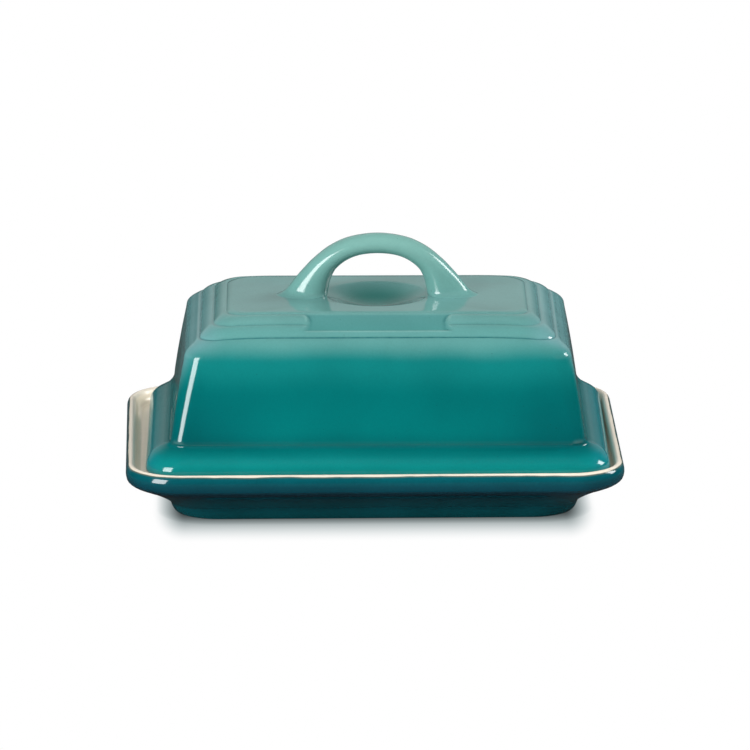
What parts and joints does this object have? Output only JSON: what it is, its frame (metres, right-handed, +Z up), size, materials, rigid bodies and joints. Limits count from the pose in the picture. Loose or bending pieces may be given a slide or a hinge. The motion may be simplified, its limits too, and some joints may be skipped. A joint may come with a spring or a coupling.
{
  "type": "covered butter dish",
  "caption": "Rectangular glazed stoneware butter dish with a lift-off cover, stepped shoulder and loop handle",
  "frame": {"origin": "middle of the foot ring, on the surface that the dish stands on", "axes": "+X along the length of the dish, -Y to the front with the blank panel, +Z up"},
  "size_m": [0.171, 0.127, 0.0896],
  "materials": {
    "dish_glaze": "gloss",
    "cover_glaze": "gloss",
    "cream_glaze": "gloss"
  },
  "bodies": {
    "dish_body": {"dish": "dish_glaze"},
    "cover_body": {"cover_shell": "cover_glaze", "handle": "cover_glaze"}
  },
  "joints": [
    {"name": "cover_lift", "type": "slide", "parent": "dish_body", "child": "cover_body", "axis": [0, 0, 1], "range_m": [0, 0.075]}
  ]
}
